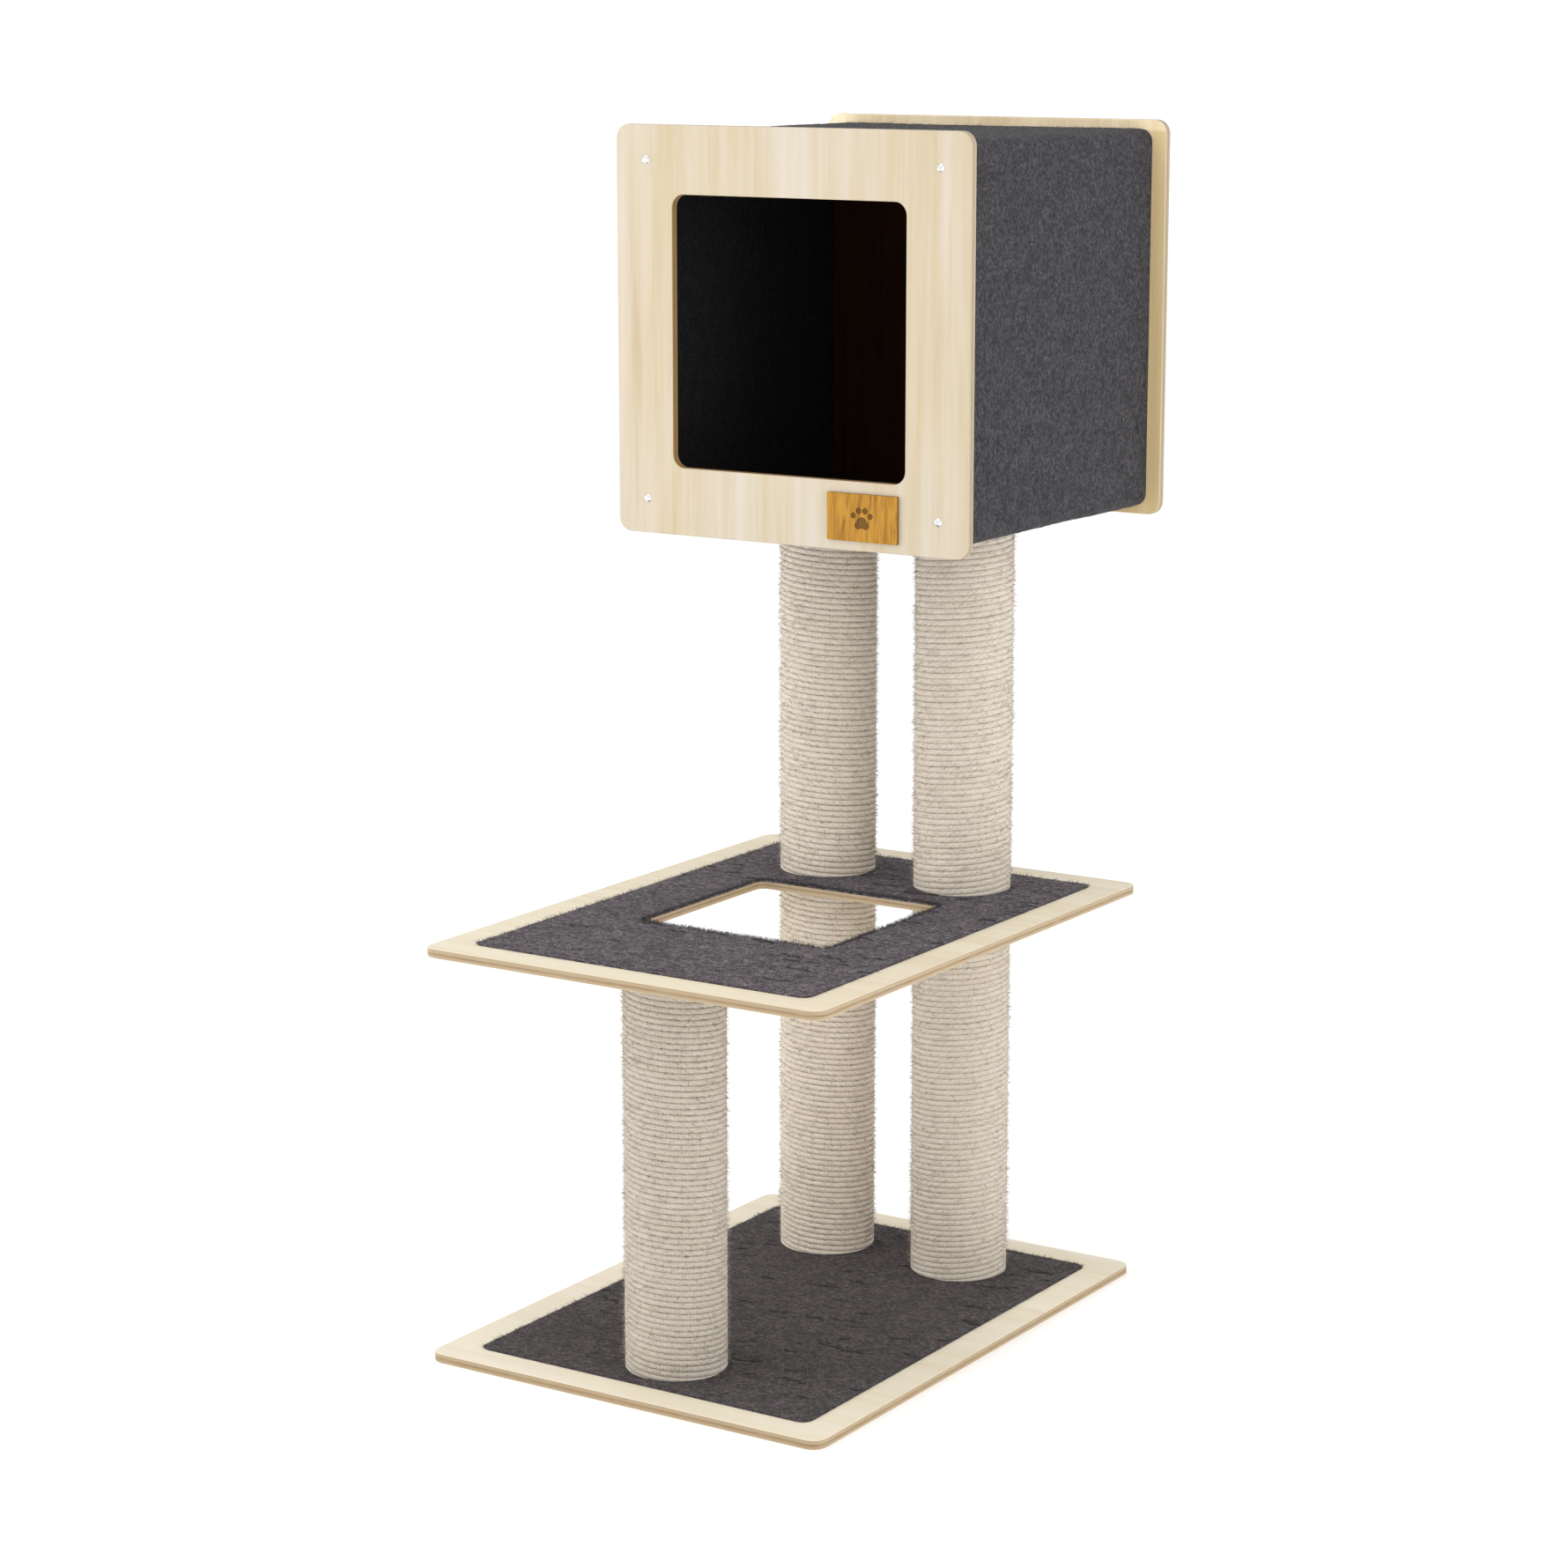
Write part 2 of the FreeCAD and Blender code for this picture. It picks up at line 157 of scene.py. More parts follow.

# Colours in linear light. A veneer has three tones, from where its figure is dark to where it is
# pale; the back panel's rim has two, a paler veneer that is a painted highlight from above. A
# board's plies have a pale, a middle and a dark one.
BASE_VENEER = ((0.690, 0.610, 0.460), (0.725, 0.655, 0.520), (0.755, 0.695, 0.575))
PLATFORM_VENEER = ((0.690, 0.595, 0.420), (0.730, 0.642, 0.480), (0.765, 0.685, 0.535))
FRONT_VENEER = ((0.480, 0.385, 0.225), (0.525, 0.447, 0.324), (0.556, 0.494, 0.414))
# The back panel's front-facing veneer is brighter and yellower than the front panel's: painted warm
# bounce light in shade.
BACK_BOUNCE_VENEER = ((0.660, 0.500, 0.260), (0.745, 0.575, 0.315), (0.800, 0.650, 0.385))
# The rim's two tones are a painted highlight: the back panel's top edge as if lit from above.
RIM_HIGHLIGHT_VENEER = ((0.800, 0.640, 0.400), (0.930, 0.780, 0.530))
RIM_FADE = 0.004
BOARD_PLIES = ((0.470, 0.365, 0.235), (0.400, 0.295, 0.170), (0.250, 0.165, 0.080))
PANEL_PLIES = ((0.430, 0.365, 0.260), (0.400, 0.325, 0.215), (0.270, 0.200, 0.115))
VENEER_STOPS = (0.36, 0.49, 0.62)

# Felts and carpets: the ground's dark and middle tones and the fibres' pale one.
# The base carpet's tones are darker than the platform carpet's: painted shade under the platform.
SHADED_BASE_CARPET_TONES = ((0.009, 0.007, 0.007), (0.031, 0.026, 0.027), (0.195, 0.160, 0.168))
PLATFORM_CARPET_TONES = ((0.012, 0.010, 0.011), (0.045, 0.037, 0.042), (0.350, 0.300, 0.332))
COVER_TONES = ((0.006, 0.005, 0.007), (0.0205, 0.0186, 0.0222), (0.146, 0.138, 0.152))
# The lining's tones are far darker than the cover's: painted shade inside the cabin.
SHADED_LINING_TONES = ((0.003, 0.003, 0.003), (0.008, 0.007, 0.008), (0.020, 0.018, 0.019))
CARPET_CURL_SCALE = 360.0
COVER_CURL_SCALE = 460.0
LINING_CURL_SCALE = 230.0

# Rope: three shades along its fibres, then its stained places, and painted shade in the creases
# between strands and in the grooves between ropes.
ROPE_SHADES = ((0.520, 0.435, 0.335), (0.660, 0.590, 0.505), (0.740, 0.690, 0.625))
ROPE_SHADE_STOPS = (0.30, 0.52, 0.74)
ROPE_STAIN = (0.60, 0.50, 0.38)
ROPE_CREASE_SHADE = (0.34, 0.27, 0.19)
ROPE_GROOVE_SHADE = (0.31, 0.205, 0.115)

# Loose fibres: dark and pale.
ROPE_STRAY = ((0.14, 0.10, 0.06), (0.58, 0.50, 0.40))
CARPET_STRAY = ((0.012, 0.010, 0.011), (0.24, 0.21, 0.225))
COVER_STRAY = ((0.030, 0.028, 0.030), (0.26, 0.25, 0.26))


# ---- mesh making --------------------------------------------------------------------------------


def make_object(name, points, face_sets, uvs=None):
    """An object from points and arrays of faces, each array with its own number of sides."""
    points = np.asarray(points, float)
    if signed_volume(points, face_sets) < 0:
        face_sets = [faces[:, ::-1] for faces in face_sets]
        uvs = None if uvs is None else [uv[:, ::-1] for uv in uvs]
    mesh = bpy.data.meshes.new(name)
    mesh.vertices.add(len(points))
    mesh.vertices.foreach_set("co", points.astype(np.float32).ravel())
    loops = np.concatenate([faces.ravel() for faces in face_sets])
    sides = np.concatenate([np.full(len(faces), faces.shape[1]) for faces in face_sets])
    starts = np.concatenate([[0], np.cumsum(sides)[:-1]])
    mesh.loops.add(len(loops))
    mesh.loops.foreach_set("vertex_index", loops.astype(np.int32))
    mesh.polygons.add(len(sides))
    mesh.polygons.foreach_set("loop_start", starts.astype(np.int32))
    mesh.polygons.foreach_set("use_smooth", np.ones(len(sides), bool))
    if uvs is not None:
        layer = mesh.uv_layers.new(name="winding")
        flat = np.concatenate([uv.reshape(-1, 2) for uv in uvs])
        layer.data.foreach_set("uv", flat.astype(np.float32).ravel())
    mesh.update(calc_edges=True)
    mesh.validate()
    made = bpy.data.objects.new(name, mesh)
    bpy.context.scene.collection.objects.link(made)
    return made


def signed_volume(points, face_sets):
    total = 0.0
    for faces in face_sets:
        for corner in range(1, faces.shape[1] - 1):
            a, b, c = points[faces[:, 0]], points[faces[:, corner]], points[faces[:, corner + 1]]
            total += np.einsum("ij,ij->", a, np.cross(b, c)) / 6.0
    return total


def add_attribute(made, name, values):
    layer = made.data.attributes.new(name, "FLOAT", "POINT")
    layer.data.foreach_set("value", np.asarray(values, np.float32))


def soft_noise(shape, reach, seed):
    """A smooth random field with mean 0 and spread 1; reach is its softness in cells each way."""
    field = np.random.default_rng(seed).standard_normal(shape)
    waves = [np.fft.fftfreq(n) * 2.0 * math.pi for n in shape]
    damping = np.exp(-0.5 * (waves[0][:, None] * reach[0]) ** 2)
    damping = damping * np.exp(-0.5 * (waves[1][None, :] * reach[1]) ** 2)
    field = np.fft.ifft2(np.fft.fft2(field) * damping).real
    return (field - field.mean()) / field.std()


def give(made, material, slot, *nodes):
    """Finishes a piece: its material, its body and the CAD nodes it stands for. slot is not used."""
    made.data.materials.clear()
    made.data.materials.append(material)
    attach(made, "root")
    if nodes:
        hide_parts(*nodes)
    return made


# ---- material making ----------------------------------------------------------------------------


class Nodes:
    """A material's node tree, with short calls for the nodes that the materials here use."""

    def __init__(self, name, roughness):
        self.material = bpy.data.materials.new(name)
        self.material.use_nodes = True
        self.tree = self.material.node_tree
        self.shader = self.tree.nodes["Principled BSDF"]
        self.shader.inputs["Roughness"].default_value = roughness

    def add(self, kind, **settings):
        node = self.tree.nodes.new(kind)
        for key, value in settings.items():
            setattr(node, key, value)
        return node

    def put(self, socket, value):
        """Sets a socket to a number or colour, or links it to another node's output."""
        if isinstance(value, bpy.types.NodeSocket):
            self.tree.links.new(value, socket)
        elif isinstance(value, tuple) and len(value) == 3 and socket.type == "RGBA":
            socket.default_value = (*value, 1.0)
        else:
            socket.default_value = value

    def object_place(self):
        """The point's own place in metres."""
        return self.add("ShaderNodeTexCoord").outputs["Object"]

    def uv_place(self, name):
        return self.add("ShaderNodeUVMap", uv_map=name).outputs["UV"]

    def mapped(self, place, setting, value):
        """A place that is moved by a Location or stretched by a Scale."""
        node = self.add("ShaderNodeMapping")
        self.put(node.inputs["Vector"], place)
        node.inputs[setting].default_value = value
        return node.outputs["Vector"]

    def place(self, scale, name=None):
        """Coordinates in metres times a scale for each axis, from the object or a named UV map."""
        place = self.object_place() if name is None else self.uv_place(name)
        return self.mapped(place, "Scale", scale)

    def axes(self, vector):
        """A vector's X, Y and Z, by these names or their numbers."""
        node = self.add("ShaderNodeSeparateXYZ")
        self.put(node.inputs["Vector"], vector)
        return node.outputs

    def noise(self, place, scale, detail=3.0, roughness=0.6, distortion=0.0):
        node = self.add("ShaderNodeTexNoise")
        self.put(node.inputs["Vector"], place)
        node.inputs["Scale"].default_value = scale
        node.inputs["Detail"].default_value = detail
        node.inputs["Roughness"].default_value = roughness
        node.inputs["Distortion"].default_value = distortion
        return node.outputs["Fac"]

    def fibre_lines(self, place, scale, width):
        """Thin curly lines: where a soft noise crosses its middle."""
        soft = self.noise(place, scale, 1.0, 0.5, 1.2)
        off = self.math("ABSOLUTE", self.math("SUBTRACT", soft, 0.5))
        return self.between(off, 0.0, width, 1.0, 0.0)

    def math(self, kind, a, b=0.0):
        node = self.add("ShaderNodeMath", operation=kind)
        self.put(node.inputs[0], a)
        self.put(node.inputs[1], b)
        return node.outputs[0]

    def between(self, value, low, high, out_low=0.0, out_high=1.0):
        node = self.add("ShaderNodeMapRange", interpolation_type="SMOOTHSTEP")
        self.put(node.inputs["Value"], value)
        node.inputs["From Min"].default_value = low
        node.inputs["From Max"].default_value = high
        node.inputs["To Min"].default_value = out_low
        node.inputs["To Max"].default_value = out_high
        return node.outputs["Result"]

    def ramp(self, value, stops, constant=False):
        node = self.add("ShaderNodeValToRGB")
        node.color_ramp.interpolation = "CONSTANT" if constant else "LINEAR"
        self.put(node.inputs["Fac"], value)
        while len(node.color_ramp.elements) < len(stops):
            node.color_ramp.elements.new(1.0)
        for element, (at, colour) in zip(node.color_ramp.elements, stops):
            element.position = at
            element.color = (*colour, 1.0)
        return node.outputs["Color"]

    def mix(self, share, a, b, kind="MIX"):
        node = self.add("ShaderNodeMix", data_type="RGBA", blend_type=kind)
        self.put(node.inputs["Factor"], share)
        self.put(node.inputs[6], a)
        self.put(node.inputs[7], b)
        return node.outputs[2]

    def attribute(self, name):
        return self.add("ShaderNodeAttribute", attribute_name=name).outputs["Fac"]

    def colour(self, value):
        self.put(self.shader.inputs["Base Color"], value)

    def rough(self, value):
        self.put(self.shader.inputs["Roughness"], value)

    def bump(self, height, strength, distance):
        node = self.add("ShaderNodeBump")
        self.put(node.inputs["Height"], height)
        node.inputs["Strength"].default_value = strength
        node.inputs["Distance"].default_value = distance
        self.put(self.shader.inputs["Normal"], node.outputs["Normal"])


def plywood(name, across, low, high, seed, veneer, plies, reverse=None):
    """Birch plywood: pale veneer on the two faces across one axis, and plies in the cut edges.

    across is the axis through the board's thickness, which runs from low to high. Its grain runs
    along Z in an upright panel and along X in a flat board. reverse is the veneer of the face on
    the high side if it differs; only the back panel has it. Its low side's veneer is brighter and
    yellower as painted warm bounce light in the shade beside the felt, and its rim above the felt
    is paler as a painted highlight from above.
    """
    made = Nodes(name, 0.55)
    upright = across == 1
    place = made.object_place()
    shifted = made.mapped(place, "Location", (0.37 * seed, 0.23 * seed, 0.11 * seed))
    point = made.axes(place)
    normal = made.axes(made.add("ShaderNodeNewGeometry").outputs["Normal"])

    def grain(wide, long):
        """Places squeezed across the grain and stretched along it."""
        scale = (wide, wide, long) if upright else (long, wide, wide)
        return made.mapped(shifted, "Scale", scale)

    def veneered(tones):
        return made.ramp(figure, list(zip(VENEER_STOPS, tones)))

    broad = grain(17, 1.1)
    bands = grain(75, 2.2)
    fine = grain(260, 9)
    streak = grain(48, 2.6)
    figure = made.math("MULTIPLY", made.noise(broad, 1.0, 4.0, 0.6, 0.7), 0.6)
    figure = made.math("ADD", figure, made.math("MULTIPLY", made.noise(bands, 1.0, 3.0, 0.6), 0.4))
    face = veneered(veneer)
    if reverse is not None:
        cover_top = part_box("cabin_felt_cover")[1].z
        # Painted highlight: the front-facing face turns paler above the felt cover, as if lit from
        # above.
        rim = made.mix(made.between(figure, VENEER_STOPS[0], VENEER_STOPS[-1]), *RIM_HIGHLIGHT_VENEER)
        face = made.mix(made.between(point["Z"], cover_top - RIM_FADE, cover_top), face, rim)
        # The back face takes the reverse veneer; the front-facing face keeps the painted warm bounce
        # tones.
        face = made.mix(made.between(normal[across], 0.0, 0.1), face, veneered(reverse))
    pores = made.between(made.noise(fine, 1.0, 2.0, 0.7), 0.52, 0.80)
    darker = tuple(0.62 * v for v in veneer[0])
    face = made.mix(made.math("MULTIPLY", pores, 0.16), face, darker)
    mineral = made.between(made.noise(streak, 1.0, 3.0, 0.6, 0.4), 0.66, 0.80)
    face = made.mix(made.math("MULTIPLY", mineral, 0.28), face, darker)

    pale, middle, dark = plies
    level = made.math("DIVIDE", made.math("SUBTRACT", point[across], low), high - low)
    steps = (0.0, 0.12, 0.34, 0.56, 0.78, 0.86, 0.92)
    tones = (pale, middle, dark, middle, pale, dark, pale)
    layers = made.ramp(level, list(zip(steps, tones)), constant=True)
    along = (60, 700, 60) if upright else (60, 60, 700)
    fibre = made.noise(made.mapped(shifted, "Scale", along), 1.0, 3.0, 0.7)
    edge = made.mix(made.between(fibre, 0.35, 0.75, 0.0, 0.5), layers, pale)
    if upright:
        aside = made.math("ABSOLUTE", made.math("SUBTRACT", point["X"], DOORWAY_MIDDLE[0]))
        above = made.math("ABSOLUTE", made.math("SUBTRACT", point["Z"], DOORWAY_MIDDLE[1]))
        doorway = made.math("LESS_THAN", made.math("MAXIMUM", aside, above), DOORWAY_REACH)
        edge = made.mix(doorway, edge, DOORWAY_TINT, "MULTIPLY")
    else:
        # Painted shade: a flat board's front and back cut edges are darker than its side edges.
        painted_edge_shade = made.math("ABSOLUTE", normal["Y"])
        edge = made.mix(made.math("MULTIPLY", painted_edge_shade, 0.20), edge, dark)
    facing = made.math("ABSOLUTE", normal[across])
    made.colour(made.mix(made.between(facing, 0.45, 0.75), edge, face))
    made.rough(made.between(made.noise(broad, 2.0), 0.3, 0.7, 0.48, 0.62))
    made.bump(made.noise(fine, 1.0, 2.0, 0.7), 0.10, 0.0004)
    return made.material


def wood(name, pale, dark, seed, bump=0.25, scale=1.0, pore_share=0.45, burnt_behind=None, gloss=0.5):
    """Solid wood with its grain along Z.

    With burnt_behind, all parts behind that Y are dark: sides and engraving that a laser has cut.
    """
    made = Nodes(name, 0.55)
    made.shader.inputs["Specular IOR Level"].default_value = gloss
    rings = made.place((70 * scale, 70 * scale, 6 * scale))
    pores = made.place((420 * scale, 420 * scale, 22 * scale))
    grain = made.noise(rings, 1.0 + 0.01 * seed, 5.0, 0.65, 1.2)
    colour = made.ramp(grain, [(0.32, dark), (0.55, pale), (0.75, tuple(1.12 * c for c in pale))])
    specks = made.between(made.noise(pores, 1.0, 2.0, 0.6), 0.55, 0.75)
    colour = made.mix(made.math("MULTIPLY", specks, pore_share), colour, tuple(0.6 * c for c in dark))
    if burnt_behind is not None:
        burnt = made.math("GREATER_THAN", made.axes(made.object_place())["Y"], burnt_behind)
        colour = made.mix(made.math("MULTIPLY", burnt, 0.8), colour, tuple(0.35 * c for c in dark))
    made.colour(colour)
    made.rough(made.between(grain, 0.3, 0.7, 0.45, 0.62))
    made.bump(made.noise(pores, 1.0, 2.0, 0.6), bump, 0.0006)
    return made.material


def metal(name, colour, roughness):
    """Plated steel with fine turning marks."""
    made = Nodes(name, roughness)
    made.shader.inputs["Metallic"].default_value = 1.0
    fine = made.noise(made.place((900, 900, 900)), 1.0, 3.0)
    made.colour(made.mix(made.between(fine, 0.3, 0.7), colour, tuple(0.86 * c for c in colour)))
    made.rough(made.between(fine, 0.3, 0.7, roughness * 0.8, roughness * 1.3))
    made.bump(fine, 0.05, 0.0002)
    return made.material


def cardboard(name):
    """Brown board with its fibres along Z."""
    made = Nodes(name, 0.85)
    fine = made.noise(made.place((500, 500, 120)), 1.0, 4.0)
    made.colour(made.ramp(fine, [(0.3, (0.33, 0.22, 0.13)), (0.7, (0.50, 0.36, 0.23))]))
    made.bump(fine, 0.2, 0.0004)
    return made.material


def rope_fibre(name, painted_light_tone):
    """Twisted plant fibre, lighter or darker by its tone, which is painted light for its post.

    The winding's UV runs along a strand in metres, then round the rope. Its sidewards attribute
    is 1 where the rope meets its neighbour, where painted shade makes it browner.
    """
    made = Nodes(name, 0.86)
    strands = made.place((420, 26, 1), name="winding")
    long_way = made.place((9, 1.0, 1), name="winding")
    fibre = made.noise(strands, 1.0, 3.0, 0.65)
    length = made.noise(long_way, 1.0, 2.0, 0.5)
    shades = [tuple(painted_light_tone * c for c in shade) for shade in ROPE_SHADES]
    colour = made.ramp(fibre, list(zip(ROPE_SHADE_STOPS, shades)))
    stain = tuple(painted_light_tone * c for c in ROPE_STAIN)
    colour = made.mix(made.between(length, 0.35, 0.70, 0.0, 0.30), colour, stain)
    round_rope = made.axes(made.uv_place("winding"))["Y"]
    over_strand = made.math("FRACT", made.math("MULTIPLY", round_rope, ROPE_STRANDS))
    crease = made.math("ABSOLUTE", made.math("SUBTRACT", over_strand, 0.5))
    # Painted shade: darker along the creases between strands.
    colour = made.mix(made.between(crease, 0.0, 0.16, 0.20, 0.0), colour, ROPE_CREASE_SHADE)
    # Painted shade: browner in the grooves where the ropes meet.
    painted_groove_shade = made.between(made.attribute("sidewards"), 0.90, 0.99, 0.0, 0.55)
    made.colour(made.mix(painted_groove_shade, colour, ROPE_GROOVE_SHADE))
    made.shader.inputs["Sheen Weight"].default_value = 0.15
    made.shader.inputs["Sheen Roughness"].default_value = 0.6
    made.bump(fibre, 0.30, 0.0004)
    return made.material


def loose_fibre(name, dark, pale):
    """Stray fibres, each with its own shade."""
    made = Nodes(name, 0.9)
    made.colour(made.ramp(made.attribute("shade"), [(0.0, dark), (1.0, pale)]))
    made.shader.inputs["Sheen Weight"].default_value = 0.1
    return made.material


def felt(name, dark, middle, pale, curl_scale, dented=False):
    """Needled felt: a mottled dark ground with thin curly fibres that catch the light.

    Where dented, the sheet's dent attribute makes it darker: painted shade in its dents and creases.
    """
    made = Nodes(name, 0.95)
    everywhere = made.place((0.85, 1, 1) if dented else (1, 1, 1))
    slanted = made.place((1.3, 0.75, 1.0) if dented else (1.05, 1.0, 1.1))
    clumps = made.noise(everywhere, 60.0, 3.0, 0.6)
    ground = made.noise(everywhere, 620.0, 2.0, 0.7)
    patches = made.noise(everywhere, 220.0, 3.0, 0.65)
    colour = made.ramp(ground, [(0.36, dark), (0.64, middle)])
    colour = made.mix(made.between(clumps, 0.36, 0.60, 0.50, 0.0), colour, dark)
    wisps = made.math(
        "MAXIMUM",
        made.fibre_lines(everywhere, curl_scale, 0.070),
        made.fibre_lines(slanted, 1.5 * curl_scale, 0.075),
    )
    shown = made.math("MULTIPLY", wisps, made.between(patches, 0.38, 0.60, 0.20, 1.0))
    shown = made.math("MULTIPLY", shown, made.between(clumps, 0.36, 0.60, 0.65, 1.0))
    colour = made.mix(shown, colour, pale)
    if dented:
        # Painted shade: darker in the carpet's dents and creases.
        dent = made.between(made.attribute("dent"), 0.25, 0.85, 0.0, 0.95)
        colour = made.mix(dent, colour, tuple(0.3 * c for c in dark))
    made.colour(colour)
    made.shader.inputs["Specular IOR Level"].default_value = 0.25
    made.shader.inputs["Sheen Weight"].default_value = 0.05
    made.shader.inputs["Sheen Roughness"].default_value = 0.5
    height = made.math("ADD", ground, made.math("MULTIPLY", shown, 0.8))
    made.bump(height, 0.7, 0.0010)
    return made.material


# ---- pieces -------------------------------------------------------------------------------------


def squared(wave):
    """Flattens a sine or cosine, so that a round section becomes a rounded square."""
    return np.sign(wave) * np.abs(wave) ** ROPE_SQUARENESS


def wound_rope(post, course, hand):
    """All of a post's rope: several ropes side by side in one winding, cut flush at both ends.

    Each rope is a ring of points, squarish and slightly lobed by its strands, that turns about the
    rope's middle as it is swept up the post.
    """
    low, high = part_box(post + "_rope")
    middle = (low + high) / 2
    centre_r = (high.x - low.x) / 2 - ROPE_THICKNESS / 2
    lead = ROPE_STARTS * course
    rise = np.arange(low.z - 0.5 * course, high.z + 0.5 * course, lead / ROPE_SEGMENTS)
    count = len(rise)
    turn_length = math.hypot(2 * math.pi * centre_r, lead)
    along = (rise - rise[0]) / lead * turn_length
    around = 2 * math.pi * np.arange(ROPE_SIDES) / ROPE_SIDES
    per_strand = ROPE_SIDES // ROPE_STRANDS
    over_strand = math.pi * (np.arange(ROPE_SIDES) % per_strand) / per_strand
    lobe = 1.0 - ROPE_LOBES * np.sin(over_strand) ** 2
    points, quads, uvs, sidewards = [], [], [], []
    for start in range(ROPE_STARTS):
        angle = hand * 2 * math.pi * ((rise - low.z) / lead + start / ROPE_STARTS)
        angle = angle + ROPE_FIRST_ANGLE
        sway = soft_noise((count, 1), (14, 1), SWAY_SEED + start)[:, 0]
        swell = soft_noise((count, 1), (5, 1), SWELL_SEED + start)[:, 0]
        twist = 2 * math.pi * along / ROPE_TWIST_LENGTH
        section = around[None, :] + twist[:, None] + ROPE_SECTION_STEP * start
        size = lobe[None, :] * (1.0 + ROPE_SWELL * swell[:, None])
        outward = centre_r + 0.5 * ROPE_THICKNESS * size * squared(np.cos(section))
        height = rise[:, None] + ROPE_SWAY * sway[:, None]
        height = height + 0.5 * ROPE_SQUEEZE * course * size * squared(np.sin(section))
        height = np.clip(height, low.z, high.z)
        x = middle.x + outward * np.cos(angle)[:, None]
        y = middle.y + outward * np.sin(angle)[:, None]
        points.append(np.stack([x, y, height], axis=2).reshape(-1, 3))
        sidewards.append(np.abs(np.sin(section)).ravel())
        i, j = np.meshgrid(np.arange(count - 1), np.arange(ROPE_SIDES), indexing="ij")
        i, j = i.ravel(), j.ravel()
        after = (j + 1) % ROPE_SIDES
        first = start * count * ROPE_SIDES
        corners = [(i, j), (i, after), (i + 1, after), (i + 1, j)]
        quads.append(first + np.stack([a * ROPE_SIDES + b for a, b in corners], axis=1))
        shown = [(i, j), (i, j + 1), (i + 1, j + 1), (i + 1, j)]
        uv = [np.stack([along[a] + ROPE_UV_STEP * start, b / ROPE_SIDES], axis=1) for a, b in shown]
        uvs.append(np.stack(uv, axis=1))
    caps = []
    for start in range(ROPE_STARTS):
        first = start * count * ROPE_SIDES
        ring = first + np.arange(ROPE_SIDES)
        caps.append(ring[::-1])
        caps.append(ring + (count - 1) * ROPE_SIDES)
    points, quads, caps = np.concatenate(points), np.concatenate(quads), np.array(caps)
    cap_uv = np.zeros((len(caps), ROPE_SIDES, 2))
    made = make_object(
        post + "_rope_winding", points, [quads, caps], [np.concatenate(uvs), cap_uv]
    )
    add_attribute(made, "sidewards", np.concatenate(sidewards))
    return made


def fibres(name, roots, aims, droop, lengths, thickness, shades):
    """Short tapering fibres, closed three-sided solids with one bend each.

    Each starts at its root along its aim, bends by its droop, and carries one shade from 0 to 1.
    """
    count = len(roots)
    aims = aims / np.linalg.norm(aims, axis=1, keepdims=True)
    side = np.cross(aims, [0.31, 0.72, 0.62])
    side /= np.linalg.norm(side, axis=1, keepdims=True)
    other = np.cross(aims, side)
    bend = roots + aims * (FIBRE_BEND * lengths)[:, None]
    tip = bend + (aims + droop) * (FIBRE_BEYOND * lengths)[:, None]
    turns = 2 * math.pi * np.arange(3) / 3
    ring = side[:, None, :] * np.cos(turns)[None, :, None]
    ring = ring + other[:, None, :] * np.sin(turns)[None, :, None]
    base = roots[:, None, :] + ring * thickness / 2
    waist = bend[:, None, :] + ring * thickness * FIBRE_WAIST
    points = np.concatenate([base, waist, tip[:, None, :]], axis=1).reshape(-1, 3)
    quads = np.array([[0, 1, 4, 3], [1, 2, 5, 4], [2, 0, 3, 5]])
    tips = np.array([[3, 4, 6], [4, 5, 6], [5, 3, 6], [2, 1, 0]])
    steps = FIBRE_POINTS * np.arange(count)[:, None, None]
    made = make_object(name, points, [(steps + quads).reshape(-1, 4), (steps + tips).reshape(-1, 3)])
    add_attribute(made, "shade", np.repeat(shades, FIBRE_POINTS))
    return made


def rope_fibres(post):
    """Stray fibres that stand out of a winding."""
    count = ROPE_FIBRES
    low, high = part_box(post + "_rope")
    middle, outer = (low + high) / 2, (high.x - low.x) / 2
    angle = random.uniform(0, 2 * math.pi, count)
    height = random.uniform(low.z + 0.005, high.z - 0.005, count)
    out = np.stack([np.cos(angle), np.sin(angle), np.zeros(count)], axis=1)
    sideways = np.stack([-np.sin(angle), np.cos(angle), np.zeros(count)], axis=1)
    roots = np.array([middle.x, middle.y, 0.0]) + out * (outer - 0.0010)
    roots[:, 2] = height
    aims = out * random.uniform(0.5, 1.5, count)[:, None]
    aims = aims + sideways * random.normal(0, 0.6, count)[:, None]
    aims[:, 2] += random.normal(0, 0.40, count)
    droop = random.normal(0, 0.55, (count, 3))
    lengths = random.uniform(*ROPE_FIBRE_LENGTHS, count)
    shades = random.uniform(0, 1, count)
    name = post + "_rope_fibres"
    return fibres(name, roots, aims, droop, lengths, ROPE_FIBRE_THICKNESS, shades)


def round_corners(x, y, half_x, half_y, corner, fade):
    """Moves grid points near a rectangle's corners onto a rounded outline.

    Points outside the rectangle follow less and less, over fade times the corner's radius.
    """
    dx, dy = np.abs(x) - (half_x - corner), np.abs(y) - (half_y - corner)
    near = (dx > 0) & (dy > 0)
    most = np.maximum(dx, dy)
    reach = np.hypot(np.maximum(dx, 1e-9), np.maximum(dy, 1e-9))
    share = np.clip(1.0 - (most - corner) / (fade * corner), 0.0, 1.0)
    factor = np.where(near, 1.0 + (most / reach - 1.0) * share, 1.0)
    x = np.where(near, np.sign(x) * (half_x - corner + dx * factor), x)
    y = np.where(near, np.sign(y) * (half_y - corner + dy * factor), y)
    return x, y


def steps_between(places, step):
    """Evenly spaced values from each place to the next, every place kept."""
    out = [np.array([places[0]])]
    for a, b in zip(places, places[1:]):
        count = max(1, round((b - a) / step))
        out.append(np.linspace(a, b, count + 1)[1:])
    return np.concatenate(out)


